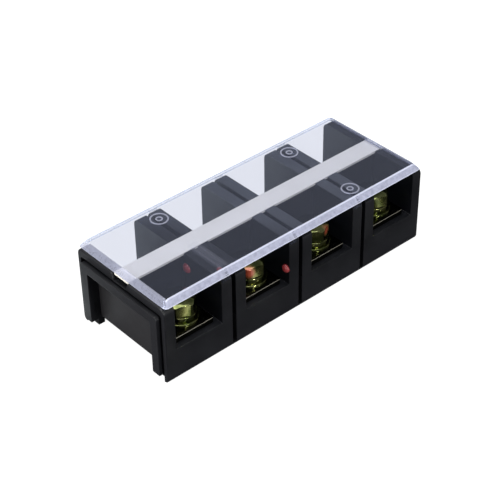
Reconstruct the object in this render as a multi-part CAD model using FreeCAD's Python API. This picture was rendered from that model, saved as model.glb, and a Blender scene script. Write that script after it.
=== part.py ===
import FreeCAD, Part
import math
import os

# Four pole high current terminal block with a clear lid, in millimetres.
# X runs along the row of poles, the front is towards -Y, and Z is up from the feet.

Vec = FreeCAD.Vector

# The row of poles
pole_count = 4
bay_width = 33.25
bay_wall = 7.25
groove_width = 3.0
groove_depth = 6.0
groove_drop = 12.0
groove_foot = 2.5

# The moulded base
base_depth = 77.4
wall_height = 52.3
shelf_height = 21.5
shelf_thickness = 4.0
skirt_thickness = 5.0
core_wall = 3.0
core_ceiling = 36.0
top_round = 4.0
foot_round = 3.0
edge_round = 0.8
partition_thickness = 10.0
partition_round = 1.5
channel_height = 5.5

# The raised frame on each end
rim_proud = 2.0
rim_half_width = 34.1
rim_top = 45.6
rim_wall = 5.9
rim_foot = 4.5
rim_round = 2.0
rim_gap = 1.8
rim_gap_depth = 3.0
panel_thickness = 2.0

# The finger notch in each end wall
notch_top_width = 15.0
notch_bottom_width = 11.0
notch_floor = 47.6
notch_depth = 4.5

# The marking strip
strip_width = 13.0
strip_thickness = 1.4
strip_stand = 0.1
strip_clearance = 0.25
strip_end_setback = 1.3
strip_round = 1.0

# The lid
lid_setback = 1.1
lid_overhang = 0.3
lid_gap = 0.3
lid_rise = 3.9
lid_slope = 3.1
lid_wall = 1.6
lid_corner = 2.4
tab_width = 5.5
tab_thickness = 1.2
tab_drop = 3.0
tab_clearance = 0.3
mark_radius = 5.6
mark_line = 0.9
mark_centre_radius = 2.2
mark_height = 0.25
mark_shift = -1.9
mark_front = -28.8
mark_back = 23.5

# The busbars
busbar_width = 28.0
busbar_length = 69.0
busbar_thickness = 3.5
busbar_round = 1.5
busbar_clearance = 0.2
terminal_offset = 21.5
terminal_hole = 6.6

# The terminal bolts, their washers and nuts
bolt_radius = 6.0
bolt_length = 25.0
bolt_tip = 1.0
head_flats = 18.5
head_height = 8.0
head_chamfer = 1.2
thread_clearance = 0.05
flat_washer_radius = 11.6
flat_washer_thickness = 3.0
flat_washer_bore = 6.5
spring_washer_radius = 10.25
spring_washer_thickness = 3.5
spring_washer_bore = 6.25
spring_washer_slit = 0.9
spring_washer_slant = 20.0
nut_flats = 19.0
nut_height = 10.0
nut_chamfer = 1.0
nut_clearance = 0.15
nut_drop = 0.3
nut_boss_wall = 2.4
nut_boss_floor = 2.7

# The screws that hold the busbars from below
screw_radius = 2.5
screw_clearance = 0.25
screw_head_radius = 4.6
screw_head_height = 3.0
screw_slot = 1.2
screw_boss_radius = 5.6
screw_boss_foot = 11.0
screw_tip_gap = 0.3

# Worked out from the sizes above
pole_width = bay_width + 2 * bay_wall
pole_pitch = pole_width + groove_width
base_length = pole_count * pole_width + (pole_count - 1) * groove_width
half_length = base_length / 2
half_depth = base_depth / 2
half_bay = bay_width / 2
shelf_underside = shelf_height - shelf_thickness
strip_bed = wall_height + strip_stand - strip_thickness
busbar_top = shelf_height + busbar_thickness
spring_washer_foot = busbar_top + flat_washer_thickness
head_foot = spring_washer_foot + spring_washer_thickness
nut_foot = shelf_height - nut_drop - nut_height
nut_boss_radius = (nut_flats / 2 + nut_clearance) / math.cos(math.radians(30)) + nut_boss_wall
lid_foot = wall_height + lid_gap
lid_top = lid_foot + lid_rise
lid_half_length = half_length - lid_setback
lid_half_depth = half_depth + lid_overhang
past = 1.0


def block(x0, x1, y0, y1, z0, z1):
    """A box between two corners."""
    return Part.makeBox(x1 - x0, y1 - y0, z1 - z0, Vec(x0, y0, z0))


def round_bar(x, y, z0, z1, radius):
    """An upright cylinder."""
    return Part.makeCylinder(radius, z1 - z0, Vec(x, y, z0))


def hex_bar(x, y, z0, z1, flats):
    """An upright hexagonal bar, with two of its flats facing left and right."""
    corner = flats / 2 / math.cos(math.radians(30))
    turns = [math.radians(60 * k + 30) for k in range(7)]
    points = [Vec(x + corner * math.cos(t), y + corner * math.sin(t), z0) for t in turns]
    return Part.Face(Part.makePolygon(points)).extrude(Vec(0, 0, z1 - z0))


def chamfer_limit(x, y, z0, z1, flats, chamfer, both_ends):
    """The turned shape that takes the corners off a hexagon's ends."""
    corner = flats / math.cos(math.radians(30)) / 2 + past
    crown = flats / 2 - chamfer / 4
    slope = math.tan(math.radians(30))
    drop = (corner - crown) * slope
    profile = [Vec(0, 0, z0)]
    profile += [Vec(crown, 0, z0), Vec(corner, 0, z0 + drop)] if both_ends else [Vec(corner, 0, z0)]
    profile += [Vec(corner, 0, z1 - drop), Vec(crown, 0, z1), Vec(0, 0, z1), Vec(0, 0, z0)]
    solid = Part.Face(Part.makePolygon(profile)).revolve(Vec(0, 0, 0), Vec(0, 0, 1), 360)
    solid.translate(Vec(x, y, 0))
    return solid


def ring(x, y, z0, z1, outer, inner):
    """An upright ring."""
    return round_bar(x, y, z0, z1, outer).cut(round_bar(x, y, z0 - past, z1 + past, inner))


def rounded_outline(half_x, half_y, radius, z):
    """A closed rectangle with rounded corners, at one height."""
    straight = []
    arcs = []
    corners = [(1, 1, 0), (-1, 1, 90), (-1, -1, 180), (1, -1, 270)]
    centres = [Vec(sx * (half_x - radius), sy * (half_y - radius), z) for sx, sy, start in corners]
    for (sx, sy, start), centre in zip(corners, centres):
        circle = Part.Circle(centre, Vec(0, 0, 1), radius)
        arcs.append(Part.Arc(circle, math.radians(start), math.radians(start + 90)).toShape())
    for k in range(4):
        a = arcs[k].Vertexes[-1].Point
        b = arcs[(k + 1) % 4].Vertexes[0].Point
        straight.append(Part.makeLine(a, b))
    edges = [edge for pair in zip(arcs, straight) for edge in pair]
    return Part.Wire(edges)


def rounded_plate(half_x, half_y, radius, z0, z1):
    """A flat plate with rounded corners."""
    return Part.Face(rounded_outline(half_x, half_y, radius, z0)).extrude(Vec(0, 0, z1 - z0))


def edges_along(shape, axis, test):
    """The straight edges that run along X (0), Y (1) or Z (2) and pass a test on their middle."""
    found = []
    for edge in shape.Edges:
        if len(edge.Vertexes) != 2:
            continue
        run = edge.Vertexes[1].Point - edge.Vertexes[0].Point
        across = [abs(run[k]) for k in range(3) if k != axis]
        if max(across) < 1e-6 and test(edge.CenterOfMass):
            found.append(edge)
    return found


def mirrored(shape, normal):
    """A copy on the other side of the middle plane."""
    return shape.mirror(Vec(0, 0, 0), normal)


def pole_centres():
    """The X of each pole's middle, from left to right."""
    first = -half_length + pole_width / 2
    return [first + k * pole_pitch for k in range(pole_count)]


def groove_centres():
    """The X of each groove between two poles."""
    return [x + pole_pitch / 2 for x in pole_centres()[:-1]]


def clip_places():
    """X and side of each clip: on the wall left of a groove in front, and turned round at the back."""
    offset = groove_width / 2 + bay_wall / 2
    front = [(x - offset, -1) for x in groove_centres()]
    back = [(x + offset, 1) for x in groove_centres()]
    return front + back


def envelope():
    """The outside of the base, with its long edges and its ends rounded."""
    shape = block(-half_length, half_length, -half_depth, half_depth, 0, wall_height)
    top = edges_along(shape, 0, lambda c: c.z > wall_height / 2)
    shape = shape.makeFillet(top_round, top)
    foot = edges_along(shape, 0, lambda c: c.z < 1e-6)
    shape = shape.makeFillet(foot_round, foot)
    ends = [e for e in shape.Edges if all(abs(abs(v.X) - half_length) < 1e-6 for v in e.Vertexes)]
    return shape.makeFillet(edge_round, ends)


def bay_cut(x):
    """The front space of one pole, above its shelf, open in front and on top."""
    y1 = -partition_thickness / 2
    cut = block(x - half_bay, x + half_bay, -half_depth - past, y1, shelf_height, wall_height + past)
    inner = edges_along(cut, 2, lambda c: abs(c.y - y1) < 1e-6)
    return cut.makeFillet(partition_round, inner)


def busbar_tunnel(x):
    """The slot under the partition that the busbar slides through."""
    half = busbar_width / 2 + busbar_clearance
    reach = partition_thickness / 2 + past
    return block(x - half, x + half, -reach, reach, shelf_height, busbar_top + busbar_clearance)


def groove_cut(x):
    """The groove between two poles, down the front, over the top and down the back."""
    x0 = x - groove_width / 2
    x1 = x + groove_width / 2
    out = half_depth + past
    inward = half_depth - groove_depth
    over = block(x0, x1, -out, out, wall_height - groove_drop, wall_height + past)
    front = block(x0, x1, -out, -inward, groove_foot, wall_height + past)
    back = block(x0, x1, inward, out, groove_foot, wall_height + past)
    return over.fuse([front, back])


def barrier_core(x):
    """The hollow inside a barrier, open below, that keeps the moulding's walls even."""
    half = bay_wall + groove_width / 2 - core_wall
    reach = half_depth - groove_depth - core_wall
    return block(x - half, x + half, -reach, reach, -past, core_ceiling)


def pole_pocket(x):
    """The hollow under one pole's shelf, with the bosses for its nuts and its screw left standing."""
    reach = half_depth - skirt_thickness
    cut = block(x - half_bay, x + half_bay, -reach, reach, -past, shelf_underside)
    boss_foot = nut_foot - nut_boss_floor
    for side in (-1, 1):
        cut = cut.cut(round_bar(x, side * terminal_offset, boss_foot, shelf_height, nut_boss_radius))
    return cut.cut(round_bar(x, 0, screw_boss_foot, shelf_height, screw_boss_radius))


def nut_seat(x, y):
    """A hexagonal well for one nut, and the round well for the bolt's end below it."""
    well = hex_bar(x, y, nut_foot, shelf_height + past, nut_flats + 2 * nut_clearance)
    return well.fuse(round_bar(x, y, -past, shelf_height + past, terminal_hole))


def end_frame():
    """The raised frame on the right end, with rounded upper corners."""
    x0 = half_length - rim_gap_depth
    frame = block(x0, half_length + rim_proud, -rim_half_width, rim_half_width, rim_foot, rim_top)
    corners = edges_along(frame, 0, lambda c: c.z > rim_top - 1e-6)
    return frame.makeFillet(rim_round, corners)


def end_gap():
    """The narrow gap round the raised frame, open below."""
    x0 = half_length - rim_gap_depth
    half = rim_half_width + rim_gap
    cut = block(x0, half_length + past, -half, half, -past, rim_top + rim_gap)
    corners = edges_along(cut, 0, lambda c: c.z > rim_top)
    return cut.makeFillet(rim_round, corners)


def end_recess():
    """The hollow inside the raised frame, back to the thin end panel."""
    x0 = half_length - bay_wall + panel_thickness
    half = rim_half_width - rim_wall
    cut = block(x0, half_length + rim_proud + past, -half, half, -past, rim_top - rim_wall)
    corners = edges_along(cut, 0, lambda c: c.z > rim_foot)
    return cut.makeFillet(edge_round, corners)


def end_notch():
    """The notch where a finger lifts the marking strip."""
    x0 = half_length - notch_depth
    z1 = wall_height + past
    spread = (notch_top_width - notch_bottom_width) / 2 / (wall_height - notch_floor)
    top_half = notch_bottom_width / 2 + spread * (z1 - notch_floor)
    low_half = notch_bottom_width / 2
    points = [Vec(x0, -low_half, notch_floor), Vec(x0, low_half, notch_floor)]
    points += [Vec(x0, top_half, z1), Vec(x0, -top_half, z1), Vec(x0, -low_half, notch_floor)]
    return Part.Face(Part.makePolygon(points)).extrude(Vec(notch_depth + past, 0, 0))


def clip_slot(x, side):
    """The open slot in a wall's outer face that takes one of the lid's tabs."""
    half = tab_width / 2 + tab_clearance
    inward = side * (lid_half_depth - tab_thickness - tab_clearance)
    outward = side * (half_depth + past)
    foot = lid_foot - tab_drop - tab_clearance
    return block(x - half, x + half, min(inward, outward), max(inward, outward), foot, wall_height + past)


def strip_recess():
    """The shallow seat along the middle that the marking strip lies in."""
    half = strip_width / 2 + strip_clearance
    reach = half_length + past
    return block(-reach, reach, -half, half, strip_bed, wall_height + past)


def underside_channel():
    """The low space between the two feet, from end to end."""
    half = rim_half_width - rim_wall
    reach = half_length + rim_proud + past
    return block(-reach, reach, -half, half, -past, channel_height)


def base():
    """The one-piece moulded base."""
    body = envelope()
    right = body.cut(end_gap()).fuse(end_frame()).cut(end_recess().fuse(end_notch()))
    across = block(0, base_length, -base_depth, base_depth, -past, wall_height + past)
    right = right.common(across)
    body = right.fuse(mirrored(right, Vec(1, 0, 0))).removeSplitter()
    cuts = [strip_recess(), underside_channel()]
    for x in pole_centres():
        cuts += [bay_cut(x), mirrored(bay_cut(x), Vec(0, 1, 0)), busbar_tunnel(x), pole_pocket(x)]
        cuts += [nut_seat(x, -terminal_offset), nut_seat(x, terminal_offset)]
        cuts.append(round_bar(x, 0, -past, shelf_height + past, screw_radius + screw_clearance))
    for x in groove_centres():
        cuts += [groove_cut(x), barrier_core(x)]
    cuts += [clip_slot(x, side) for x, side in clip_places()]
    return body.cut(cuts)


def lid_shell():
    """A shallow tray turned over, with sloping sides and an even wall."""
    low = rounded_outline(lid_half_length, lid_half_depth, lid_corner, lid_foot)
    high = rounded_outline(lid_half_length - lid_slope, lid_half_depth - lid_slope, lid_corner, lid_top)
    outer = Part.makeLoft([low, high], True, True)
    rise = lid_rise - lid_wall
    slope = lid_slope * rise / lid_rise
    inner_corner = lid_corner / 2
    in_x = lid_half_length - lid_wall
    in_y = lid_half_depth - lid_wall
    in_low = rounded_outline(in_x, in_y, inner_corner, lid_foot)
    in_high = rounded_outline(in_x - slope, in_y - slope, inner_corner, lid_foot + rise)
    return outer.cut(Part.makeLoft([in_low, in_high], True, True))


def lid_tab(x, side):
    """A tab that hangs from the lid's long edge into its slot."""
    outer = side * lid_half_depth
    inner = side * (lid_half_depth - tab_thickness)
    half = tab_width / 2
    tab = block(x - half, x + half, min(outer, inner), max(outer, inner), lid_foot - tab_drop, lid_foot)
    tip = edges_along(tab, 0, lambda c: c.z < lid_foot - tab_drop + 1e-6)
    return tab.makeFillet(tab_thickness / 3, tip)


def lid_mark(x, y):
    """A plain raised ring with a small ring in it."""
    z1 = lid_top + mark_height
    outline = ring(x, y, lid_top, z1, mark_radius, mark_radius - mark_line)
    return [outline, ring(x, y, lid_top, z1, mark_centre_radius, mark_centre_radius - mark_line)]


def lid():
    """The clear clip-on lid."""
    grooves = groove_centres()
    added = [lid_tab(x, side) for x, side in clip_places()]
    for x, y in ((grooves[0], mark_back), (grooves[-1], mark_back), (grooves[-1], mark_front)):
        added += lid_mark(x + mark_shift, y)
    return lid_shell().fuse(added).removeSplitter()


def marking_strip():
    """The blank white strip that lies along the middle."""
    half = half_length - strip_end_setback
    return rounded_plate(half, strip_width / 2, strip_round, strip_bed, strip_bed + strip_thickness)


def busbar(x):
    """A plated flat bar with a hole at each terminal and one for its screw."""
    bar = rounded_plate(busbar_width / 2, busbar_length / 2, busbar_round, shelf_height, busbar_top)
    bar.translate(Vec(x, 0, 0))
    holes = [round_bar(x, 0, shelf_height - past, busbar_top + past, screw_radius + thread_clearance)]
    for side in (-1, 1):
        y = side * terminal_offset
        holes.append(round_bar(x, y, shelf_height - past, busbar_top + past, terminal_hole))
    return bar.cut(holes)


def terminal_bolt(x):
    """A hexagon head bolt, with its head on the spring washer."""
    y = -terminal_offset
    top = head_foot + head_height
    head = hex_bar(x, y, head_foot, top, head_flats)
    head = head.common(chamfer_limit(x, y, head_foot, top, head_flats, head_chamfer, False))
    tip = head_foot - bolt_length
    shank = round_bar(x, y, tip, head_foot, bolt_radius)
    end = [e for e in shank.Edges if len(e.Vertexes) == 1 and abs(e.CenterOfMass.z - tip) < 1e-6]
    return head.fuse(shank.makeChamfer(bolt_tip, end))


def spring_washer(x):
    """A split ring, pressed flat."""
    y = -terminal_offset
    z0 = spring_washer_foot
    z1 = z0 + spring_washer_thickness
    washer = ring(x, y, z0, z1, spring_washer_radius, spring_washer_bore)
    half = spring_washer_slit / 2
    slit = block(0, spring_washer_radius + past, -half, half, -z1, z1)
    slit.rotate(Vec(0, 0, 0), Vec(1, 0, 0), spring_washer_slant)
    slit.translate(Vec(x, y, (z0 + z1) / 2))
    return washer.cut(slit)


def flat_washer(x):
    """The large washer that presses on the cable's lug."""
    return ring(x, -terminal_offset, busbar_top, spring_washer_foot, flat_washer_radius, flat_washer_bore)


def nut(x, y):
    """A hexagon nut held in the base under the busbar."""
    top = nut_foot + nut_height
    body = hex_bar(x, y, nut_foot, top, nut_flats)
    body = body.common(chamfer_limit(x, y, nut_foot, top, nut_flats, nut_chamfer, True))
    return body.cut(round_bar(x, y, nut_foot - past, top + past, bolt_radius + thread_clearance))


def busbar_screw(x):
    """A slotted screw, put in from below, that holds the busbar down."""
    z0 = screw_boss_foot - screw_head_height
    head = round_bar(x, 0, z0, screw_boss_foot, screw_head_radius)
    rim = [e for e in head.Edges if len(e.Vertexes) == 1 and abs(e.CenterOfMass.z - z0) < 1e-6]
    head = head.makeFillet(screw_head_height / 3, rim)
    shank = round_bar(x, 0, screw_boss_foot, busbar_top - screw_tip_gap, screw_radius)
    reach = screw_head_radius + past
    half = screw_slot / 2
    return head.fuse(shank).cut(block(x - reach, x + reach, -half, half, z0 - past, z0 + screw_slot))


def build():
    """Every piece, by name."""
    pieces = {"base": base(), "cover": lid(), "marking_strip": marking_strip()}
    for number, x in enumerate(pole_centres(), 1):
        pieces["busbar_%d" % number] = busbar(x)
        pieces["terminal_bolt_%d" % number] = terminal_bolt(x)
        pieces["spring_washer_%d" % number] = spring_washer(x)
        pieces["flat_washer_%d" % number] = flat_washer(x)
        pieces["front_nut_%d" % number] = nut(x, -terminal_offset)
        pieces["rear_nut_%d" % number] = nut(x, terminal_offset)
        pieces["busbar_screw_%d" % number] = busbar_screw(x)
    return pieces


os.makedirs("parts", exist_ok=True)
for name, shape in build().items():
    if shape.ShapeType == "Compound" and len(shape.Solids) == 1:
        shape = shape.Solids[0]
    print(name, len(shape.Solids), "solid", round(shape.Volume, 2), "mm3", shape.isValid())
    shape.exportStep("parts/" + name + ".step")
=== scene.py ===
import logging
import math
from dataclasses import dataclass
from enum import Enum
from functools import partial
from typing import Callable, Sequence

import bmesh
import bpy
from mathutils import Matrix, Vector


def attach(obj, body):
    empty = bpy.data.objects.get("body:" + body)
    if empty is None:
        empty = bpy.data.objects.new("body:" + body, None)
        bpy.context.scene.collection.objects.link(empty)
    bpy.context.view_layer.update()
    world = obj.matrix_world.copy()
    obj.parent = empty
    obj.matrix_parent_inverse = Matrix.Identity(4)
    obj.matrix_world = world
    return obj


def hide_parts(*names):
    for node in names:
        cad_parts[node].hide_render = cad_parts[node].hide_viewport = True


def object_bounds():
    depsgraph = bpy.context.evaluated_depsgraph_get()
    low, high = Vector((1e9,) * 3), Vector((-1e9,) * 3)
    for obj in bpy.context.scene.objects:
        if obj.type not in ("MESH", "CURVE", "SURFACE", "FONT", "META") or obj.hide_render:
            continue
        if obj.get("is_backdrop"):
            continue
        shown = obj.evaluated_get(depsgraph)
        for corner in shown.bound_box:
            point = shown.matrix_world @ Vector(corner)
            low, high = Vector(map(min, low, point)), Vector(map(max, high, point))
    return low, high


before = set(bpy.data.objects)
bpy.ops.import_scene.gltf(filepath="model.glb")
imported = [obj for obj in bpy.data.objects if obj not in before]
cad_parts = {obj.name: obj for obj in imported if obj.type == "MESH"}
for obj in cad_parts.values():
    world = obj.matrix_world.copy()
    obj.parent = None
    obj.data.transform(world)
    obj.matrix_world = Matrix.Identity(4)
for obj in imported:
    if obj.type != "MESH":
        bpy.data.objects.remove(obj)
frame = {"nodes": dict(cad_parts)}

MM = 0.001
log = logging.getLogger("terminal_block")

NOISE_LOW, NOISE_HIGH = 0.3, 0.7

Pair = tuple[float, float]
Triple = tuple[float, float, float]
Four = tuple[float, float, float, float]
Colour = Triple
Profile = Sequence[Pair]
Material = bpy.types.Material
Socket = bpy.types.NodeSocket


class Body(Enum):
    """The CAD bodies that the new pieces ride on."""

    BASE = "base"
    WASHERS = "washers"
    BOLT = "bolt"

    def at(self, pole: int) -> str:
        """Names the body that belongs to one pole.

        Args:
            pole: the pole's number, from 1.

        Returns:
            The body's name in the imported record.
        """
        return f"{self.value}_{pole}"


class Slot(Enum):
    """The names of the record's material slots for the bars and the zinc."""

    BAR = "plated_bar"
    ZINC = "passivated_zinc"


class Graph:
    """A small helper that adds nodes to a material and joins them up."""

    def __init__(self, name: str) -> None:
        """Starts an empty node tree with an output.

        Args:
            name: the material's name.
        """
        self.material = bpy.data.materials.new(name)
        self.material.use_nodes = True
        self.tree = self.material.node_tree
        self.tree.nodes.clear()
        self.output = self.tree.nodes.new("ShaderNodeOutputMaterial")
        self.coords = self.tree.nodes.new("ShaderNodeTexCoord")

    def node(self, kind: str, **settings: object) -> bpy.types.Node:
        """Adds a node.

        Args:
            kind: the node's type, without the ShaderNode prefix.
            settings: attributes of the node.

        Returns:
            The new node.
        """
        made = self.tree.nodes.new("ShaderNode" + kind)
        for key, value in settings.items():
            setattr(made, key, value)
        return made

    def join(self, source: Socket, target: Socket) -> None:
        """Links two sockets.

        Args:
            source: the output socket.
            target: the input socket.
        """
        self.tree.links.new(source, target)

    def feed(self, target: Socket, value: object) -> None:
        """Sets a socket to a value, or links it when the value is a socket.

        Args:
            target: the input socket.
            value: a number, a colour or an output socket.
        """
        if isinstance(value, Socket):
            self.join(value, target)
        elif isinstance(value, (tuple, list)) and len(value) == 3 and len(target.default_value) == 4:
            target.default_value = (*value, 1.0)
        else:
            target.default_value = value

    def math(self, operation: str, a: object, b: object = 0.0, clamp: bool = False) -> Socket:
        """Adds a maths node.

        Args:
            operation: the node's operation.
            a: the first value.
            b: the second value.
            clamp: whether the result stays between 0 and 1.

        Returns:
            The result's socket.
        """
        made = self.node("Math", operation=operation, use_clamp=clamp)
        self.feed(made.inputs[0], a)
        self.feed(made.inputs[1], b)
        return made.outputs[0]

    def place(self) -> Socket:
        """Gives the object coordinates.

        Returns:
            The coordinates' socket, in metres.
        """
        return self.coords.outputs["Object"]

    def axes(self) -> tuple[Socket, Socket, Socket]:
        """Splits the object coordinates.

        Returns:
            The X, Y and Z sockets, in metres.
        """
        split = self.node("SeparateXYZ")
        self.join(self.place(), split.inputs["Vector"])
        return split.outputs["X"], split.outputs["Y"], split.outputs["Z"]

    def mix(self, share: object, base: object, over: object) -> Socket:
        """Mixes two colours.

        Args:
            share: how much of the second colour shows.
            base: the first colour or its socket.
            over: the second colour or its socket.

        Returns:
            The mixed colour's socket.
        """
        made = self.node("Mix", data_type="RGBA")
        self.feed(made.inputs[0], share)
        self.feed(made.inputs[6], base)
        self.feed(made.inputs[7], over)
        return made.outputs[2]

    def noise(self, scale: float, detail: float = 3.0, stretch: Triple = (1, 1, 1)) -> Socket:
        """Adds a noise texture on the object coordinates.

        Args:
            scale: the noise's scale, in cells per metre.
            detail: the number of octaves.
            stretch: the scale along each axis.

        Returns:
            The noise's value socket.
        """
        mapping = self.node("Mapping")
        mapping.inputs["Scale"].default_value = stretch
        self.join(self.place(), mapping.inputs["Vector"])
        texture = self.node("TexNoise")
        texture.inputs["Scale"].default_value = scale
        texture.inputs["Detail"].default_value = detail
        self.join(mapping.outputs["Vector"], texture.inputs["Vector"])
        return texture.outputs["Fac"]

    def ramp(self, value: Socket, stops: Sequence[tuple[float, Colour]]) -> Socket:
        """Adds a colour ramp.

        Args:
            value: the socket that drives the ramp.
            stops: positions and linear colours.

        Returns:
            The colour's socket.
        """
        made = self.node("ValToRGB")
        ramp = made.color_ramp
        ramp.elements[0].position, ramp.elements[0].color = stops[0][0], (*stops[0][1], 1.0)
        ramp.elements[1].position, ramp.elements[1].color = stops[-1][0], (*stops[-1][1], 1.0)
        for position, colour in stops[1:-1]:
            ramp.elements.new(position).color = (*colour, 1.0)
        self.join(value, made.inputs["Fac"])
        return made.outputs["Color"]

    def spread(self, value: Socket, low: float, high: float) -> Socket:
        """Maps a value from the middle of a noise to a range.

        Args:
            value: the socket to map, with most of its values in the noise's middle.
            low: the result at the middle's lower end.
            high: the result at its upper end.

        Returns:
            The mapped value's socket.
        """
        made = self.node("MapRange")
        made.inputs["From Min"].default_value = NOISE_LOW
        made.inputs["From Max"].default_value = NOISE_HIGH
        made.inputs["To Min"].default_value = low
        made.inputs["To Max"].default_value = high
        self.join(value, made.inputs["Value"])
        return made.outputs["Result"]

    def layer(self, share: object, under: Socket, over: Socket) -> Socket:
        """Mixes two shaders.

        Args:
            share: how much of the second shader shows.
            under: the first shader's socket.
            over: the second shader's socket.

        Returns:
            The mixed shader's socket.
        """
        made = self.node("MixShader")
        self.feed(made.inputs["Fac"], share)
        self.join(under, made.inputs[1])
        self.join(over, made.inputs[2])
        return made.outputs["Shader"]

    def relief(self, height: Socket, distance: float, strength: float, edge: float = 0.0) -> Socket:
        """Adds a bump on top of softened edges.

        Args:
            height: the height's socket.
            distance: the height's scale, in metres.
            strength: the bump's strength.
            edge: the radius that softens sharp edges, in metres, or 0.

        Returns:
            The normal's socket.
        """
        bump = self.node("Bump")
        bump.inputs["Strength"].default_value = strength
        bump.inputs["Distance"].default_value = distance
        self.join(height, bump.inputs["Height"])
        if edge > 0:
            soft = self.node("Bevel", samples=6)
            soft.inputs["Radius"].default_value = edge
            self.join(soft.outputs["Normal"], bump.inputs["Normal"])
        return bump.outputs["Normal"]

    def principled(self, **inputs: object) -> bpy.types.Node:
        """Adds a Principled shader.

        Args:
            inputs: values or sockets by input name, with spaces as underscores.

        Returns:
            The shader node.
        """
        shader = self.node("BsdfPrincipled")
        for key, value in inputs.items():
            self.feed(shader.inputs[key.replace("_", " ")], value)
        return shader

    def close(self, shader: Socket) -> Material:
        """Joins the last shader to the output.

        Args:
            shader: the shader's socket.

        Returns:
            The finished material.
        """
        self.join(shader, self.output.inputs["Surface"])
        return self.material


@dataclass(frozen=True)
class MouldedFinish:
    """A moulded plastic with a fine grain and softened edges, which can carry painted light on the tops and
    end panels and painted shade in the front bays.
    """

    name: str
    dark: Colour
    light: Colour
    roughness: float
    grain: float = 0.00003
    edge: float = 0.0005
    sheen: float = 0.5
    cloud_scale: float = 60.0
    grain_scale: float = 2600.0
    relief: float = 0.5
    duller: float = 0.07
    glossier: float = 0.05
    # Painted light: the colours of the lit barrier tops and of the lit end panels.
    crown: Colour | None = None
    painted_panel_light: Colour = (0.016, 0.0155, 0.0165)
    crown_height: float = 0.0518
    crown_half_length: float = 0.08
    # Weight of Y beside X, offset in metres, and rise of the tops' painted light in each metre.
    crown_fade: Triple = (0.9, 0.045, 33.0)
    # The end panels with painted light: X, half thickness, half width and height, in metres.
    panel_place: Four = (0.0949, 0.0006, 0.0281, 0.045)
    # The front bays, whose lower gloss is painted shade: half length, front, lowest and highest, in metres.
    inside: Four = (0.0934, -0.0384, 0.0216, 0.0516)
    bay_shade_sheen: float = 1.0

    def painted_light(self, g: Graph, colour: Socket) -> Socket:
        """Paints light onto the tops of the barriers, least at the front left, and onto the end panels.

        Args:
            g: the material's graph.
            colour: the plain colour's socket.

        Returns:
            A socket with the moulding's colour and its painted light.
        """
        x, y, z = g.axes()
        far_x, far_y = g.math("ABSOLUTE", x), g.math("ABSOLUTE", y)
        inside = g.math("LESS_THAN", far_x, self.crown_half_length)
        top = g.math("MULTIPLY", g.math("GREATER_THAN", z, self.crown_height), inside)
        skew, start, steep = self.crown_fade
        across = g.math("ADD", g.math("ADD", x, g.math("MULTIPLY", y, skew)), start)
        share = g.math("MULTIPLY", top, g.math("MULTIPLY", across, steep, True))
        # Painted light: the barriers' tops get lighter towards the back right.
        painted_light = g.mix(share, colour, self.crown)
        # Painted light on the end panels, up to 45 mm high.
        place, half_thickness, half_width, height = self.panel_place
        off = g.math("ABSOLUTE", g.math("SUBTRACT", far_x, place))
        low = g.math("MULTIPLY", g.math("LESS_THAN", off, half_thickness), g.math("LESS_THAN", z, height))
        low = g.math("MULTIPLY", low, g.math("LESS_THAN", far_y, half_width))
        return g.mix(low, painted_light, self.painted_panel_light)

    def gloss(self, g: Graph) -> Socket:
        """Works out the gloss, which is lower inside the front bays as painted shade.

        Args:
            g: the material's graph.

        Returns:
            A socket with the specular level.
        """
        half, front, low, high = self.inside
        x, y, z = g.axes()
        deep = g.math("MULTIPLY", g.math("GREATER_THAN", y, front), g.math("LESS_THAN", y, 0.0))
        tall = g.math("MULTIPLY", g.math("GREATER_THAN", z, low), g.math("LESS_THAN", z, high))
        wide = g.math("LESS_THAN", g.math("ABSOLUTE", x), half)
        share = g.math("MULTIPLY", g.math("MULTIPLY", deep, tall), wide)
        # Painted shade: the gloss drops inside the front bays.
        lost = g.math("MULTIPLY", share, 1.0 - self.bay_shade_sheen)
        return g.math("MULTIPLY", g.math("SUBTRACT", 1.0, lost), self.sheen)

    def build(self) -> Material:
        """Makes the material.

        Returns:
            The material.
        """
        g = Graph(self.name)
        cloud = g.noise(self.cloud_scale, 4.0)
        fine = g.noise(self.grain_scale, 2.0)
        colour = g.ramp(cloud, ((0.35, self.dark), (0.65, self.light)))
        if self.crown is not None:
            colour = self.painted_light(g, colour)
        rough = g.spread(cloud, self.roughness - self.glossier, self.roughness + self.duller)
        normal = g.relief(fine, self.grain, self.relief, self.edge)
        shader = g.principled(
            Base_Color=colour,
            Roughness=rough,
            Normal=normal,
            Specular_IOR_Level=self.gloss(g),
        )
        return g.close(shader.outputs["BSDF"])


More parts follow.
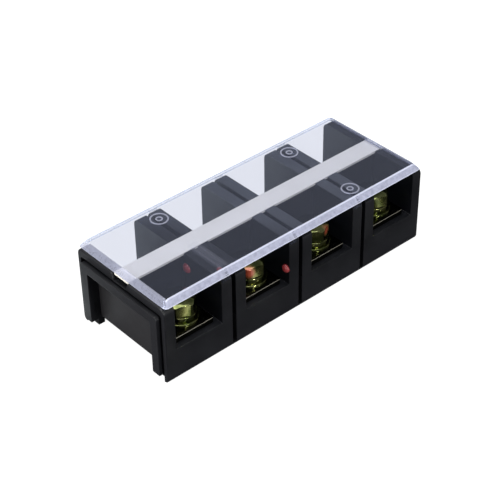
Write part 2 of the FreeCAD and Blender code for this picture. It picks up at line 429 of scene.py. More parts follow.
@dataclass(frozen=True)
class MetalFinish:
    """A plated metal whose colour drifts over the surface."""

    name: str
    colours: tuple[Colour, ...]
    roughness: float
    drift: float = 160.0
    brushed: Triple = (1.0, 1.0, 1.0)
    edge: float = 0.0002
    coat: float = 0.0
    wave: float = 0.0
    blush: Colour = (0.5, 0.12, 0.04)
    # X, Y, Z and radius of each blush, in metres.
    blush_places: tuple[Four, ...] = ()
    blush_edge: float = 1.6
    blush_dull: float = 0.7
    # The painted highlight along the bar's top end edges: distance from the middle, height and half
    # thickness, in metres.
    edge_highlight: Triple | None = None
    edge_highlight_colour: Colour = (0.19, 0.18, 0.145)
    edge_highlight_roughness: float = 0.35
    edge_highlight_dull: float = 0.6
    grain: float = 0.000002
    grain_scale: float = 1800.0
    wave_scale: float = 330.0
    relief: float = 0.3
    duller: float = 1.3
    glossier: float = 0.8
    coat_roughness: float = 0.06

    def build(self) -> Material:
        """Makes the material.

        Returns:
            The material.
        """
        g = Graph(self.name)
        cloud = g.noise(self.drift, 3.0)
        fine = g.noise(self.grain_scale, 3.0, self.brushed)
        step = (NOISE_HIGH - NOISE_LOW) / (len(self.colours) - 1)
        stops = tuple((NOISE_LOW + step * k, colour) for k, colour in enumerate(self.colours))
        colour = g.ramp(cloud, stops)
        metallic = 1.0
        for x, y, z, radius in self.blush_places:
            away = g.node("VectorMath", operation="DISTANCE")
            g.join(g.place(), away.inputs[0])
            away.inputs[1].default_value = (x, y, z)
            near = g.math("SUBTRACT", radius, away.outputs["Value"])
            share = g.math("MULTIPLY", near, self.blush_edge / radius, True)
            colour = g.mix(share, colour, self.blush)
            metallic = g.math("SUBTRACT", metallic, g.math("MULTIPLY", share, self.blush_dull))
        rough = g.spread(fine, self.roughness * self.glossier, self.roughness * self.duller)
        # Painted highlight: a lighter, rougher, less metallic line along the bar's top end edges.
        if self.edge_highlight is not None:
            _, y, z = g.axes()
            depth, level, half = self.edge_highlight
            off = g.math("ABSOLUTE", g.math("SUBTRACT", g.math("ABSOLUTE", y), depth))
            rise = g.math("ABSOLUTE", g.math("SUBTRACT", z, level))
            on_edge_highlight = g.math("LESS_THAN", g.math("MAXIMUM", off, rise), half)
            colour = g.mix(on_edge_highlight, colour, self.edge_highlight_colour)
            rough = g.math("ADD", rough, g.math("MULTIPLY", on_edge_highlight, self.edge_highlight_roughness))
            metallic = g.math("SUBTRACT", metallic, g.math("MULTIPLY", on_edge_highlight, self.edge_highlight_dull))
        height = g.math("ADD", g.math("MULTIPLY", g.noise(self.wave_scale, 2.0), self.wave), fine)
        normal = g.relief(height, self.grain, self.relief, self.edge)
        shader = g.principled(
            Base_Color=colour,
            Metallic=metallic,
            Roughness=rough,
            Normal=normal,
            Coat_Weight=self.coat,
            Coat_Roughness=self.coat_roughness,
        )
        return g.close(shader.outputs["BSDF"])


@dataclass(frozen=True)
class ClearFinish:
    """A clear thin plastic that light goes straight through, with a milky sloping border and painted
    highlights along the border's edges.
    """

    name: str
    tint: Colour
    edge_tint: Colour
    milk: Colour
    gloss: Colour
    haze: float
    haze_drift: float
    border_haze: float
    left_haze: float
    back_haze: float
    mark_haze: float
    milky_patch_haze: float
    half_length: float
    half_depth: float
    foot: float
    top: float
    # A milkier patch on the top, by the first groove: left, right, front and back, in metres.
    milky_patch: Four
    clips: tuple[float, ...]
    clip_half: float
    # Painted highlights: the lines along the border's edges are made milkier and paler.
    line: float = 0.0004
    glint_haze: float = 0.95
    left_glint: float = 0.45
    clip_share: float = 0.45
    scatter: float = 0.4
    glint_milk: Colour = (0.66, 0.68, 0.80)
    roughness: float = 0.04
    shine: float = 0.045
    glance: float = 0.96
    tone: Pair = (0.9, 1.1)
    tone_scale: float = 40.0
    mottle: Pair = (0.78, 1.12)
    mottle_scale: float = 420.0

    def band(self, g: Graph, value: Socket, low: float, high: float) -> Socket:
        """Finds where a coordinate lies between two values.

        Args:
            g: the material's graph.
            value: the coordinate's socket.
            low: the lower value, in metres.
            high: the higher value, in metres.

        Returns:
            A socket that is 1 between them and 0 elsewhere.
        """
        above = g.math("GREATER_THAN", value, low)
        return g.math("MULTIPLY", above, g.math("LESS_THAN", value, high))

    def past(self, g: Graph, x: Socket, y: Socket) -> tuple[Socket, Socket]:
        """Measures how far a place lies past the lid's flat top.

        Args:
            g: the material's graph.
            x: the X coordinate.
            y: the Y coordinate.

        Returns:
            The distances past its ends and past its sides, in metres.
        """
        past_end = g.math("SUBTRACT", g.math("ABSOLUTE", x), self.half_length)
        past_side = g.math("SUBTRACT", g.math("ABSOLUTE", y), self.half_depth)
        return past_end, past_side

    def painted_glints(self, g: Graph) -> Socket:
        """Finds the narrow lines along the border's upper and lower edges, where highlights are painted.

        Args:
            g: the material's graph.

        Returns:
            A socket that is 1 on the lines and 0 elsewhere.
        """
        x, y, z = g.axes()
        past_end, past_side = self.past(g, x, y)
        out = g.math("MAXIMUM", past_end, past_side)
        raised = g.math("GREATER_THAN", z, self.foot)
        upper = g.math("MULTIPLY", self.band(g, out, -self.line, self.line), raised)
        low = self.band(g, z, self.foot, self.foot + self.line)
        lower = g.math("MULTIPLY", low, g.math("GREATER_THAN", out, 0.0))
        front = g.math("LESS_THAN", y, self.line - self.half_depth)
        left = g.math("MULTIPLY", g.math("LESS_THAN", x, self.line - self.half_length), self.left_glint)
        return g.math("MULTIPLY", g.math("MAXIMUM", upper, lower), g.math("MAXIMUM", front, left))

    def amount(self, g: Graph) -> Socket:
        """Works out how milky each place of the lid is, from the object coordinates.

        Args:
            g: the material's graph.

        Returns:
            A socket with the milky share.
        """
        x, y, z = g.axes()
        past_end, past_side = self.past(g, x, y)
        on_end = g.math("GREATER_THAN", past_end, g.math("MAXIMUM", past_side, 0.0))
        on_side = g.math("MULTIPLY", g.math("GREATER_THAN", past_side, 0.0), g.math("SUBTRACT", 1.0, on_end))
        left = g.math("MULTIPLY", g.math("LESS_THAN", x, 0.0), self.left_haze - self.border_haze)
        back = g.math("MULTIPLY", g.math("GREATER_THAN", y, 0.0), self.back_haze - self.border_haze)
        ends = g.math("MULTIPLY", on_end, g.math("ADD", left, self.border_haze))
        sides = g.math("MULTIPLY", on_side, g.math("ADD", back, self.border_haze))
        border = g.math("MULTIPLY", g.math("ADD", ends, sides), g.math("GREATER_THAN", z, self.foot))
        at_front, at_back = g.math("LESS_THAN", y, 0.0), g.math("GREATER_THAN", y, 0.0)
        shut = None
        for place in self.clips:
            front = self.band(g, x, place - self.clip_half, place + self.clip_half)
            rear = self.band(g, x, -place - self.clip_half, self.clip_half - place)
            both = g.math("MAXIMUM", g.math("MULTIPLY", front, at_front), g.math("MULTIPLY", rear, at_back))
            shut = both if shut is None else g.math("MAXIMUM", shut, both)
        clearer = g.math("SUBTRACT", 1.0, g.math("MULTIPLY", shut, self.clip_share))
        border = g.math("MULTIPLY", border, clearer)
        border = g.math("MULTIPLY", border, g.spread(g.noise(self.mottle_scale, 2.0), *self.mottle))
        raised = g.math("MULTIPLY", g.math("GREATER_THAN", z, self.top), self.mark_haze)
        x_low, x_high, y_low, y_high = self.milky_patch
        milky_patch = g.math("MULTIPLY", self.band(g, x, x_low, x_high), self.band(g, y, y_low, y_high))
        milky_patch = g.math("MULTIPLY", milky_patch, self.milky_patch_haze)
        # Painted highlights along the border's edges.
        painted_glints = g.math("MULTIPLY", self.painted_glints(g), self.glint_haze)
        most = g.math("MAXIMUM", g.math("MAXIMUM", border, painted_glints), g.math("MAXIMUM", raised, milky_patch))
        return g.math("MAXIMUM", most, g.math("ADD", g.math("MULTIPLY", x, self.haze_drift), self.haze))

    def build(self) -> Material:
        """Makes the material.

        Returns:
            The material.
        """
        g = Graph(self.name)
        tone = g.spread(g.noise(self.tone_scale, 2.0), *self.tone)
        x, y, _ = g.axes()
        past_end, past_side = self.past(g, x, y)
        beyond = g.math("GREATER_THAN", g.math("MAXIMUM", past_end, past_side), 0.0)
        clear = g.node("BsdfTransparent")
        g.join(g.mix(beyond, self.tint, self.edge_tint), clear.inputs["Color"])
        # The painted highlights get a paler milk.
        white = g.mix(self.painted_glints(g), self.milk, self.glint_milk)
        milk = g.node("BsdfTranslucent")
        g.join(white, milk.inputs["Color"])
        cloud = g.node("BsdfDiffuse")
        g.join(white, cloud.inputs["Color"])
        soft = g.layer(self.scatter, cloud.outputs["BSDF"], milk.outputs["BSDF"])
        share = g.math("MULTIPLY", self.amount(g), tone, True)
        body = g.layer(share, clear.outputs["BSDF"], soft)
        mirror = g.node("BsdfGlossy")
        g.feed(mirror.inputs["Color"], self.gloss)
        mirror.inputs["Roughness"].default_value = self.roughness
        facing = g.node("LayerWeight")
        facing.inputs["Blend"].default_value = 0.5
        glance = g.math("POWER", facing.outputs["Facing"], 5.0)
        shine = g.math("ADD", g.math("MULTIPLY", glance, self.glance), self.shine)
        return g.close(g.layer(shine, body, mirror.outputs["BSDF"]))


@dataclass(frozen=True)
class PaperFinish:
    """The pale floor: white to the camera with a light shadow; in the part's reflections its colour is
    painted: dull, darker in a band in front, bright behind, and with bright patches that paint highlights on
    the bolts.
    """

    name: str
    colour: Colour
    # The floor's colours in reflections only, which are painted reflections: dull in front and bright behind
    # the part.
    reflected: Colour
    behind: Colour
    lift: float
    # Painted reflections: left, right, front and back of each place that only reflections see, in metres,
    # and its grey.
    places: tuple[tuple[float, float, float, float, float], ...]
    # Half length and half depth of the part's footprint, which has no lift, in metres.
    under: Pair
    # Where the bright floor behind the part, a painted reflection, ends on the left, in metres.
    end: float
    # Where that floor starts in Y, in metres, and how fast it brightens in each metre.
    fade: Pair = (0.02, 18.0)
    warmth: float = 0.92
    shade: float = 0.985
    roughness: float = 0.9

    def build(self) -> Material:
        """Makes the material.

        Returns:
            The material.
        """
        g = Graph(self.name)
        low = tuple(self.shade * part for part in self.colour)
        seen = g.ramp(g.noise(3.0, 2.0), ((NOISE_LOW, low), (NOISE_HIGH, self.colour)))
        path = g.node("LightPath")
        x, y, _ = g.axes()
        past_x = g.math("GREATER_THAN", g.math("ABSOLUTE", x), self.under[0])
        past_y = g.math("GREATER_THAN", g.math("ABSOLUTE", y), self.under[1])
        outside = g.math("MULTIPLY", g.math("MAXIMUM", past_x, past_y), self.lift)
        lift = g.math("MULTIPLY", path.outputs["Is Camera Ray"], outside)
        fade_start, fade_rate = self.fade
        behind = g.math("MULTIPLY", g.math("SUBTRACT", y, fade_start), fade_rate, True)
        behind = g.math("MULTIPLY", behind, g.math("GREATER_THAN", x, self.end))
        painted_reflections = g.ramp(behind, ((0.0, self.reflected), (1.0, self.behind)))
        # Painted reflections: a dark band, and bright patches that put highlights on the bolts.
        for left, right, front, back, grey in self.places:
            away_x = g.math("ABSOLUTE", g.math("SUBTRACT", x, 0.5 * (left + right)))
            away_y = g.math("ABSOLUTE", g.math("SUBTRACT", y, 0.5 * (front + back)))
            near_x = g.math("LESS_THAN", away_x, 0.5 * (right - left))
            near_y = g.math("LESS_THAN", away_y, 0.5 * (back - front))
            painted_reflections = g.mix(g.math("MULTIPLY", near_x, near_y), painted_reflections, (grey, grey, self.warmth * grey))
        shader = g.principled(
            Base_Color=g.mix(path.outputs["Is Camera Ray"], painted_reflections, seen),
            Roughness=self.roughness,
            Emission_Color=(1.0, 1.0, 1.0),
            Emission_Strength=lift,
        )
        return g.close(shader.outputs["BSDF"])


BLACK_MOULDING = MouldedFinish(
    "moulding",
    (0.0020, 0.0023, 0.0034),
    (0.0040, 0.0044, 0.0060),
    0.42,
    sheen=0.35,
    # Painted light on the barriers' tops; the end panels keep the default painted light.
    crown=(0.050, 0.054, 0.060),
    # Painted shade: lower gloss inside the front bays.
    bay_shade_sheen=0.3,
)
WHITE_STRIP = MouldedFinish("strip_white", (0.88, 0.84, 0.75), (0.92, 0.88, 0.79), 0.45, edge=0.0002)
RED_DAB_FINISH = MouldedFinish("red_dab_finish", (0.17, 0.018, 0.020), (0.26, 0.04, 0.045), 0.25, edge=0.0001)
YELLOW_ZINC = MetalFinish(
    "passivated_zinc",
    ((0.045, 0.06, 0.014), (0.09, 0.105, 0.028), (0.21, 0.22, 0.08), (0.12, 0.12, 0.035)),
    0.12,
    coat=0.2,
    wave=14.0,
    blush=(0.30, 0.055, 0.028),
    blush_places=(
        (-0.0313, -0.0292, 0.0365, 0.0050),
        (0.0288, -0.0301, 0.0370, 0.0042),
    ),
)
PLATED_BAR = MetalFinish(
    "plated_bar",
    ((0.025, 0.024, 0.018), (0.05, 0.048, 0.036)),
    0.1,
    edge=0.0004,
    brushed=(1.0, 0.06, 1.0),
    # A painted highlight along the bar's top end edges.
    edge_highlight=(0.0345, 0.0249, 0.0002),
)
CLEAR_COVER = ClearFinish(
    "clear_cover",
    tint=(0.842, 0.853, 0.893),
    edge_tint=(0.93, 0.935, 0.95),
    milk=(0.53, 0.545, 0.665),
    gloss=(0.66, 0.75, 1.0),
    haze=0.021,
    haze_drift=0.04,
    border_haze=0.66,
    left_haze=0.40,
    back_haze=0.16,
    mark_haze=0.52,
    milky_patch_haze=0.08,
    half_length=0.0959,
    half_depth=0.0360,
    foot=0.0525,
    top=0.05655,
    milky_patch=(-0.0570, -0.0505, -0.0345, -0.0065),
    clips=(-0.0549, -0.0041, 0.0466),
    clip_half=0.0009,
)
PALE_FLOOR = PaperFinish(
    "floor_paper",
    colour=(0.14, 0.14, 0.14),
    # Painted reflections: the floor's colours that only reflections see.
    reflected=(0.13, 0.13, 0.145),
    behind=(0.90, 0.98, 1.0),
    lift=0.95,
    # Painted reflections: a dark band in front, and bright patches that put highlights on the bolts.
    places=(
        (-0.150, 0.150, -0.096, -0.052, 0.02),
        (-0.0843, -0.0806, -0.081, -0.060, 1.0),
        (-0.0114, -0.0082, -0.078, -0.060, 1.0),
        (0.0862, 0.0890, -0.086, -0.068, 1.0),
    ),
    under=(0.086, 0.031),
    end=-0.1185,
)


def object_from(
    bm: bmesh.types.BMesh,
    name: str,
    material: Material,
    sharp: float = 35.0,
) -> bpy.types.Object:
    """Turns a bmesh into an object at the origin, with smooth faces and sharp edges.

    Args:
        bm: the mesh, in metres, which is freed.
        name: the object's name.
        material: its material.
        sharp: the angle above which an edge is sharp, in degrees.

    Returns:
        The new object.
    """
    bmesh.ops.recalc_face_normals(bm, faces=bm.faces)
    for face in bm.faces:
        face.smooth = True
    for edge in bm.edges:
        edge.smooth = not (edge.is_manifold and edge.calc_face_angle(0.0) > math.radians(sharp))
    mesh = bpy.data.meshes.new(name)
    bm.to_mesh(mesh)
    bm.free()
    mesh.materials.append(material)
    made = bpy.data.objects.new(name, mesh)
    bpy.context.scene.collection.objects.link(made)
    return made


def add_loop(bm: bmesh.types.BMesh, points: Sequence[Vector]) -> list[bmesh.types.BMEdge]:
    """Adds a closed loop of edges.

    Args:
        bm: the mesh.
        points: the loop's points, in metres.

    Returns:
        The loop's edges.
    """
    verts = [bm.verts.new(point) for point in points]
    return [bm.edges.new((verts[k], verts[(k + 1) % len(verts)])) for k in range(len(verts))]


def add_turned(bm: bmesh.types.BMesh, profile: Profile, centre: Pair, steps: int = 64) -> None:
    """Turns a closed profile round an upright axis.

    Args:
        bm: the mesh.
        profile: radius and height of each point, in mm, as a closed outline.
        centre: X and Y of the axis, in mm.
        steps: the number of steps in a full turn.
    """
    x, y = centre
    points = [Vector(((x + radius) * MM, y * MM, z * MM)) for radius, z in profile]
    edges = add_loop(bm, points)
    verts = [v for edge in edges for v in edge.verts]
    bmesh.ops.spin(
        bm,
        geom=list(set(verts)) + edges,
        cent=(x * MM, y * MM, 0.0),
        axis=(0.0, 0.0, 1.0),
        angle=math.tau,
        steps=steps,
        use_merge=True,
    )


def rounded_section(
    inner: float,
    outer: float,
    low: float,
    high: float,
    radius: float,
    parts: int = 3,
) -> list[Pair]:
    """A rectangular section with rounded corners, for turning.

    Args:
        inner: the inner radius, in mm.
        outer: the outer radius, in mm.
        low: the lower height, in mm.
        high: the upper height, in mm.
        radius: the corners' radius, in mm.
        parts: the number of segments in each corner.

    Returns:
        The section's points.
    """
    corners = (
        (outer - radius, high - radius, 0.0),
        (inner + radius, high - radius, 90.0),
        (inner + radius, low + radius, 180.0),
        (outer - radius, low + radius, 270.0),
    )
    points = []
    for r, z, start in corners:
        for k in range(parts + 1):
            turn = math.radians(start + 90.0 * k / parts)
            points.append((r + radius * math.cos(turn), z + radius * math.sin(turn)))
    return points


def hexagon_radius(turn: float, flats: float, blend: float) -> float:
    """The radius of a hexagon with blunt corners.

    Args:
        turn: the direction, in radians, with a corner at 30 degrees.
        flats: the width across flats, in mm.
        blend: how much is taken off the corners, in mm.

    Returns:
        The radius, in mm.
    """
    off = turn % math.radians(60)
    off = min(off, math.radians(60) - off)
    radius = flats / 2 / math.cos(off)
    corner = flats / 2 / math.cos(math.radians(30))
    return min(radius, corner - blend)


def add_hexagon(
    bm: bmesh.types.BMesh,
    centre: Pair,
    low: float,
    high: float,
    flats: float,
    chamfer: float,
    turn: float,
) -> None:
    """Adds a hexagonal head with a turned top.

    Args:
        bm: the mesh.
        centre: X and Y of the axis, in mm.
        low: the lower height, in mm.
        high: the upper height, in mm.
        flats: the width across flats, in mm.
        chamfer: the flat top's setback from the flats, in mm.
        turn: how far the hexagon is turned, in degrees.
    """
    steps = 144
    blunt = 0.35
    crown = flats / 2 - chamfer
    slope = math.tan(math.radians(30))
    x, y = centre
    side = partial(hexagon_radius, flats=flats, blend=blunt)

    def level(
        radius_of: Callable[[float], float],
        height_of: Callable[[float], float],
    ) -> list[bmesh.types.BMVert]:
        """One ring of the head.

        Args:
            radius_of: gives the radius for a direction.
            height_of: gives the height for a radius.

        Returns:
            The ring's vertices.
        """
        verts = []
        for k in range(steps):
            a = math.tau * k / steps
            r = radius_of(a)
            b = a + math.radians(turn)
            place = (x + r * math.cos(b), y + r * math.sin(b), height_of(r))
            verts.append(bm.verts.new([part * MM for part in place]))
        return verts

    rings = (
        level(side, lambda r: low),
        level(side, lambda r: high - (r - crown) * slope),
        level(lambda a: crown, lambda r: high),
    )
    for lower, upper in zip(rings, rings[1:]):
        for k in range(steps):
            bm.faces.new((lower[k], lower[(k + 1) % steps], upper[(k + 1) % steps], upper[k]))
    bm.faces.new(rings[-1])
    bm.faces.new(list(reversed(rings[0])))


def add_thread(
    bm: bmesh.types.BMesh,
    centre: Pair,
    low: float,
    high: float,
    core: float,
    crest: float,
    pitch: float,
) -> None:
    """Adds a threaded shank: a core, and a ridge that winds round it.

    Args:
        bm: the mesh.
        centre: X and Y of the axis, in mm.
        low: the lower height, in mm.
        high: the upper height, in mm.
        core: the core's radius, in mm.
        crest: the ridge's outer radius, in mm.
        pitch: the rise in one turn, in mm.
    """
    x, y = centre
    tip = 1.2
    inset = tip * 0.6
    axis = 0.0005
    steps_in_turn = 28
    sunk = core - 0.15
    half, flat = pitch * 0.42, pitch * 0.07
    profile = ((axis, low), (core - inset, low), (core, low + inset), (core, high), (axis, high))
    add_turned(bm, profile, centre, 32)
    turns = (high - low - 2 * tip) / pitch
    steps = int(turns * steps_in_turn)
    shape = ((sunk, -half), (crest, -flat), (crest, flat), (sunk, half))
    start = low + tip
    points = [Vector(((x + r) * MM, y * MM, (start + z) * MM)) for r, z in shape]
    edges = add_loop(bm, points)
    verts = list({v for edge in edges for v in edge.verts})
    first = bmesh.ops.edgeloop_fill(bm, edges=edges)["faces"]
    bmesh.ops.spin(
        bm,
        geom=verts + edges + first,
        cent=(x * MM, y * MM, 0.0),
        axis=(0.0, 0.0, 1.0),
        dvec=(0.0, 0.0, turns * pitch * MM / steps),
        angle=turns * math.tau,
        steps=steps,
    )


@dataclass
class PoleRow:
    """Where the poles stand, and how their bolts are turned."""

    count: int = 4
    pitch: float = 50.75
    terminal_y: float = -21.5
    bolt_turns: tuple[float, ...] = (8.0, 22.0, -6.0, 15.0)

    def centres(self) -> list[float]:
        """Gives the poles' places.

        Returns:
            The X of each pole, in mm.
        """
        return [(k - (self.count - 1) / 2) * self.pitch for k in range(self.count)]


@dataclass
class BoltStack:
    """A bolt with its spring washer and flat washer, on one pole."""

    pole: int
    x: float
    y: float
    turn: float
    metal: Material
    flats: float = 18.5
    head_low: float = 31.5
    head_high: float = 39.5
    shank_length: float = 25.0
    thread_pitch: float = 1.75
    thread_core: float = 5.1
    thread_crest: float = 5.95
    flat_low: float = 25.0
    flat_high: float = 28.0
    flat_outer: float = 11.6
    flat_bore: float = 6.5
    spring_outer: float = 10.25
    spring_bore: float = 6.25
    slit: float = 0.9
    slit_lean: float = 0.09
    slit_turn: float = 200.0
    head_chamfer: float = 0.35
    shank_root: float = 0.2
    flat_edge: float = 0.45
    spring_edge: float = 0.4

    def bolt(self) -> bpy.types.Object:
        """Builds the bolt.

        Returns:
            The bolt, riding on its own body.
        """
        bm = bmesh.new()
        add_hexagon(
            bm,
            (self.x, self.y),
            self.head_low,
            self.head_high,
            self.flats,
            self.head_chamfer,
            self.turn,
        )
        add_thread(
            bm,
            (self.x, self.y),
            self.head_low - self.shank_length,
            self.head_low + self.shank_root,
            self.thread_core,
            self.thread_crest,
            self.thread_pitch,
        )
        made = object_from(bm, f"bolt_look_{self.pole}", self.metal)
        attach(made, Body.BOLT.at(self.pole))
        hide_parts(f"terminal_bolt_{self.pole}")
        return made

    def flat_washer(self) -> bpy.types.Object:
        """Builds the flat washer.

        Returns:
            The washer, riding with the pole's washers.
        """
        bm = bmesh.new()
        low, high = self.flat_low, self.flat_high
        section = rounded_section(self.flat_bore, self.flat_outer, low, high, self.flat_edge)
        add_turned(bm, section, (self.x, self.y))
        made = object_from(bm, f"flat_washer_look_{self.pole}", self.metal)
        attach(made, Body.WASHERS.at(self.pole))
        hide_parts(f"flat_washer_{self.pole}")
        return made

    def spring_washer(self) -> bpy.types.Object:
        """Builds the spring washer: a ring with a slanting slit.

        Returns:
            The washer, riding with the pole's washers.
        """
        bm = bmesh.new()
        low, high = self.flat_high, self.head_low
        section = rounded_section(self.spring_bore, self.spring_outer, low, high, self.spring_edge)
        points = [Vector(((self.x + r) * MM, self.y * MM, z * MM)) for r, z in section]
        edges = add_loop(bm, points)
        verts = list({v for edge in edges for v in edge.verts})
        first = bmesh.ops.edgeloop_fill(bm, edges=edges)["faces"]
        gap = self.slit / self.spring_outer
        steps = 72
        bmesh.ops.spin(
            bm,
            geom=verts + edges + first,
            cent=(self.x * MM, self.y * MM, 0.0),
            axis=(0.0, 0.0, 1.0),
            angle=math.tau - gap,
            steps=steps,
        )
        middle = (low + high) / 2
        axis_x, axis_y = self.x * MM, self.y * MM
        for vert in bm.verts:
            lean = (vert.co.z / MM - middle) * self.slit_lean + math.radians(self.slit_turn)
            spun = Matrix.Rotation(lean, 3, "Z") @ Vector((vert.co.x - axis_x, vert.co.y - axis_y, 0.0))
            vert.co.x = axis_x + spun.x
            vert.co.y = axis_y + spun.y
        made = object_from(bm, f"spring_washer_look_{self.pole}", self.metal)
        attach(made, Body.WASHERS.at(self.pole))
        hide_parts(f"spring_washer_{self.pole}")
        return made

    def build(self) -> list[bpy.types.Object]:
        """Builds the whole stack.

        Returns:
            The bolt and its washers.
        """
        return [self.flat_washer(), self.spring_washer(), self.bolt()]


@dataclass
class Busbar:
    """A plated flat bar with softened edges."""

    pole: int
    x: float
    terminal_y: float
    metal: Material
    width: float = 28.0
    length: float = 69.0
    low: float = 21.5
    high: float = 25.0
    corner: float = 1.5
    hole: float = 6.6
    middle_hole: float = 2.55
    edge: float = 0.3

    def outline(self) -> list[Vector]:
        """The bar's outer outline.

        Returns:
            The outline's points, in metres.
        """
        half_x = self.width / 2 - self.corner
        half_y = self.length / 2 - self.corner
        parts = 4
        points = []
        for sx, sy, start in ((1, 1, 0), (-1, 1, 90), (-1, -1, 180), (1, -1, 270)):
            for k in range(parts + 1):
                turn = math.radians(start + 90.0 * k / parts)
                px = self.x + sx * half_x + self.corner * math.cos(turn)
                py = sy * half_y + self.corner * math.sin(turn)
                points.append(Vector((px * MM, py * MM, self.low * MM)))
        return points

    def hole_at(self, y: float, radius: float, steps: int) -> list[Vector]:
        """A round hole's outline.

        Args:
            y: the hole's place along the bar, in mm.
            radius: its radius, in mm.
            steps: the number of points.

        Returns:
            The outline's points, in metres.
        """
        points = []
        for k in range(steps):
            turn = math.tau * k / steps
            px, py = self.x + radius * math.cos(turn), y + radius * math.sin(turn)
            points.append(Vector((px * MM, py * MM, self.low * MM)))
        return points

    def build(self) -> bpy.types.Object:
        """Builds the bar.

        Returns:
            The bar, riding with the base.
        """
        bm = bmesh.new()
        edges = add_loop(bm, self.outline())
        edges += add_loop(bm, self.hole_at(self.terminal_y, self.hole, 48))
        edges += add_loop(bm, self.hole_at(-self.terminal_y, self.hole, 48))
        edges += add_loop(bm, self.hole_at(0.0, self.middle_hole, 24))
        filled = bmesh.ops.triangle_fill(bm, use_beauty=True, edges=edges)["geom"]
        faces = [g for g in filled if isinstance(g, bmesh.types.BMFace)]
        grown = bmesh.ops.extrude_face_region(bm, geom=faces)["geom"]
        verts = [g for g in grown if isinstance(g, bmesh.types.BMVert)]
        bmesh.ops.translate(bm, verts=verts, vec=(0.0, 0.0, (self.high - self.low) * MM))
        bmesh.ops.recalc_face_normals(bm, faces=bm.faces)
        rims = [e for e in bm.edges if e.is_manifold and e.calc_face_angle(0.0) > math.radians(60)]
        offset = self.edge * MM
        bmesh.ops.bevel(bm, geom=rims, offset=offset, segments=2, profile=0.5, affect="EDGES", material=-1)
        made = object_from(bm, f"busbar_look_{self.pole}", self.metal, sharp=40.0)
        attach(made, Body.BASE.value)
        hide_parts(f"busbar_{self.pole}")
        return made


@dataclass
class RedDabs:
    """Small red dabs on the moulding."""

    red_finish: Material
    # X, Y, Z and radius of each dab, in mm.
    on_walls: tuple[Four, ...] = (
        (-59.4, -8.8, 43.1, 3.1),
        (-9.0, -36.0, 31.9, 2.7),
    )
    on_tops: tuple[Four, ...] = ((-54.2, -31.0, 52.2, 1.7),)
    wall_shape: Triple = (0.7, 1.0, 1.0)
    top_shape: Triple = (1.0, 1.0, 0.6)

    def build(self) -> list[bpy.types.Object]:
        """Builds the dabs.

        Returns:
            The dabs, riding with the base.
        """
        made = []
        places = [(place, self.wall_shape) for place in self.on_walls]
        places += [(place, self.top_shape) for place in self.on_tops]
        for number, ((x, y, z, radius), share) in enumerate(places, 1):
            bm = bmesh.new()
            bmesh.ops.create_icosphere(bm, subdivisions=3, radius=radius * MM)
            bmesh.ops.scale(bm, vec=share, verts=bm.verts)
            bmesh.ops.translate(bm, vec=(x * MM, y * MM, z * MM), verts=bm.verts)
            dab = object_from(bm, f"red_dab_{number}", self.red_finish, sharp=80.0)
            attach(dab, Body.BASE.value)
            made.append(dab)
        return made


@dataclass
class FrameFinishes:
    """Puts the materials on the CAD nodes that are shown as they are."""

    moulding: Material
    cover: Material
    strip: Material
    zinc: Material

    def material_for(self, node: str) -> Material | None:
        """Chooses a node's material.

        Args:
            node: the CAD node's name.

        Returns:
            The material, or None for a node that a new piece replaces.
        """
        fixed = {"base": self.moulding, "cover": self.cover, "marking_strip": self.strip}
        if node in fixed:
            return fixed[node]
        if node.startswith(("front_nut", "rear_nut", "busbar_screw")):
            return self.zinc
        return None

    def apply(self, nodes: dict[str, bpy.types.Object]) -> int:
        """Sets the materials.

        Args:
            nodes: the CAD nodes by name.

        Returns:
            The number of nodes that got one.
        """
        count = 0
        for name, node in nodes.items():
            material = self.material_for(name)
            if material is None:
                continue
            node.data.materials.clear()
            node.data.materials.append(material)
            count += 1
        return count


@dataclass(frozen=True)
class Softbox:
    """A square soft light that looks at the part."""

    name: str
    place: Triple
    size: float
    watts: float
    colour: Colour = (1.0, 1.0, 1.0)
    target: Triple = (0.0, 0.0, 0.03)

    def build(self) -> bpy.types.Object:
        """Makes the light.

        Returns:
            The light's object.
        """
        data = bpy.data.lights.new(self.name, "AREA")
        data.shape = "SQUARE"
        data.size = self.size
        data.energy = self.watts
        data.color = self.colour
        made = bpy.data.objects.new(self.name, data)
        made.location = self.place
        aim = Vector(self.target) - Vector(self.place)
        made.rotation_mode = "QUATERNION"
        made.rotation_quaternion = aim.to_track_quat("-Z", "Y")
        bpy.context.scene.collection.objects.link(made)
        return made


@dataclass(frozen=True)
class Camera:
    """The photograph's camera."""

    azimuth: float = -0.719579
    elevation: float = 0.649212
    roll: float = -0.0147091
    focal_px: float = 1427.278
    image_px: float = 500.0
    shift: Pair = (-3.70103, 16.19846)
    distance: float = 862.568
    sensor: float = 36.0

    def build(self) -> bpy.types.Object:
        """Makes the camera and sets it as the scene's.

        Returns:
            The camera's object.
        """
        back = Vector((
            math.sin(self.azimuth) * math.cos(self.elevation),
            -math.cos(self.azimuth) * math.cos(self.elevation),
            math.sin(self.elevation),
        ))
        right = Vector((math.cos(self.azimuth), math.sin(self.azimuth), 0.0))
        up = back.cross(right)
        c, s = math.cos(self.roll), math.sin(self.roll)
        side = c * right + s * up
        top = -s * right + c * up
        data = bpy.data.cameras.new("camera")
        data.sensor_width = self.sensor
        data.lens = self.focal_px * self.sensor / self.image_px
        data.clip_start = 0.01
        data.clip_end = 50.0
        made = bpy.data.objects.new("camera", data)
        place = (side * self.shift[0] + top * self.shift[1] + back * self.distance) * MM
        made.matrix_world = Matrix((
            (side.x, top.x, back.x, place.x),
            (side.y, top.y, back.y, place.y),
            (side.z, top.z, back.z, place.z),
            (0.0, 0.0, 0.0, 1.0),
        ))
        bpy.context.scene.collection.objects.link(made)
        bpy.context.scene.camera = made
        return made


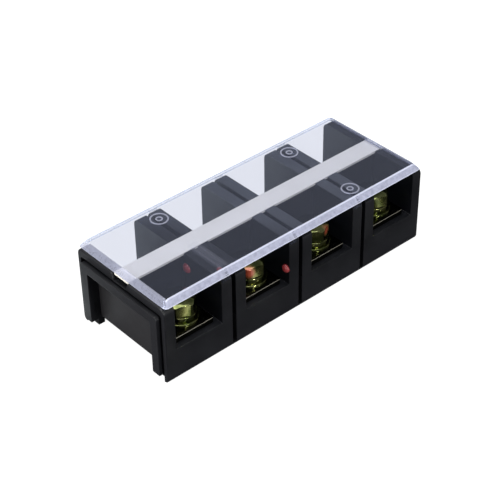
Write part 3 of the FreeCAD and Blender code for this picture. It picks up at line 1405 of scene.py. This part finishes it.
@dataclass
class Studio:
    """The floor, the lights and the white room."""

    floor_size: float = 6.0
    room_strength: float = 0.28
    backdrop_strength: float = 1.0
    lights: tuple[Softbox, ...] = (
        Softbox("light_top", (-0.1, 0.1, 1.2), 0.9, 15.0),
        Softbox("light_left", (-1.3, 0.1, 0.5), 1.0, 19.0),
        Softbox("light_front", (-0.12, -1.2, 0.36), 0.10, 11.0),
        Softbox("light_spark", (-0.16, -1.0, 0.85), 0.06, 2.2),
        Softbox("light_back", (0.95, 1.1, 1.1), 3.0, 3.0),
    )

    def floor(self) -> bpy.types.Object:
        """Makes the floor.

        Returns:
            The floor, as a stage object.
        """
        bm = bmesh.new()
        bmesh.ops.create_grid(bm, x_segments=1, y_segments=1, size=self.floor_size / 2)
        made = object_from(bm, "floor", PALE_FLOOR.build())
        made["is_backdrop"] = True
        return made

    def room(self) -> None:
        """Sets the world: soft white light, and plain white where the camera looks at it."""
        world = bpy.data.worlds.new("room")
        bpy.context.scene.world = world
        world.use_nodes = True
        tree = world.node_tree
        tree.nodes.clear()
        soft = tree.nodes.new("ShaderNodeBackground")
        soft.inputs["Color"].default_value = (1.0, 1.0, 1.0, 1.0)
        soft.inputs["Strength"].default_value = self.room_strength
        plain = tree.nodes.new("ShaderNodeBackground")
        plain.inputs["Color"].default_value = (1.0, 1.0, 1.0, 1.0)
        plain.inputs["Strength"].default_value = self.backdrop_strength
        path = tree.nodes.new("ShaderNodeLightPath")
        mix = tree.nodes.new("ShaderNodeMixShader")
        out = tree.nodes.new("ShaderNodeOutputWorld")
        tree.links.new(path.outputs["Is Camera Ray"], mix.inputs["Fac"])
        tree.links.new(soft.outputs["Background"], mix.inputs[1])
        tree.links.new(plain.outputs["Background"], mix.inputs[2])
        tree.links.new(mix.outputs["Shader"], out.inputs["Surface"])

    def build(self) -> None:
        """Builds the floor, the lights and the world, and sets the plain view transform."""
        self.floor()
        self.room()
        for light in self.lights:
            light.build()
        bpy.context.scene.view_settings.view_transform = "Standard"


def corners() -> list[list[float]]:
    """Measures the shown object.

    Returns:
        Its lowest and highest corners, in metres.
    """
    low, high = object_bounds()
    return [list(low), list(high)]


def main() -> None:
    """Builds the look around the frame."""
    logging.basicConfig(level=logging.INFO, format="%(name)s: %(message)s")
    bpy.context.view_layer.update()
    moulding = BLACK_MOULDING.build()
    strip = WHITE_STRIP.build()
    zinc = YELLOW_ZINC.build()
    bar = PLATED_BAR.build()
    cover = CLEAR_COVER.build()
    dressed = FrameFinishes(moulding, cover, strip, zinc).apply(frame["nodes"])
    log.info("materials on %d CAD nodes", dressed)
    row = PoleRow()
    for pole, (x, turn) in enumerate(zip(row.centres(), row.bolt_turns), 1):
        stack = BoltStack(pole, x, row.terminal_y, turn, zinc).build()
        log.info("pole %d: %s", pole, ", ".join(piece.name for piece in stack))
        busbar = Busbar(pole, x, row.terminal_y, bar).build()
        log.info("pole %d: %s", pole, busbar.name)
    for dab in RedDabs(RED_DAB_FINISH.build()).build():
        log.info("piece: %s", dab.name)
    Studio().build()
    Camera().build()


if __name__ == "__main__":
    main()
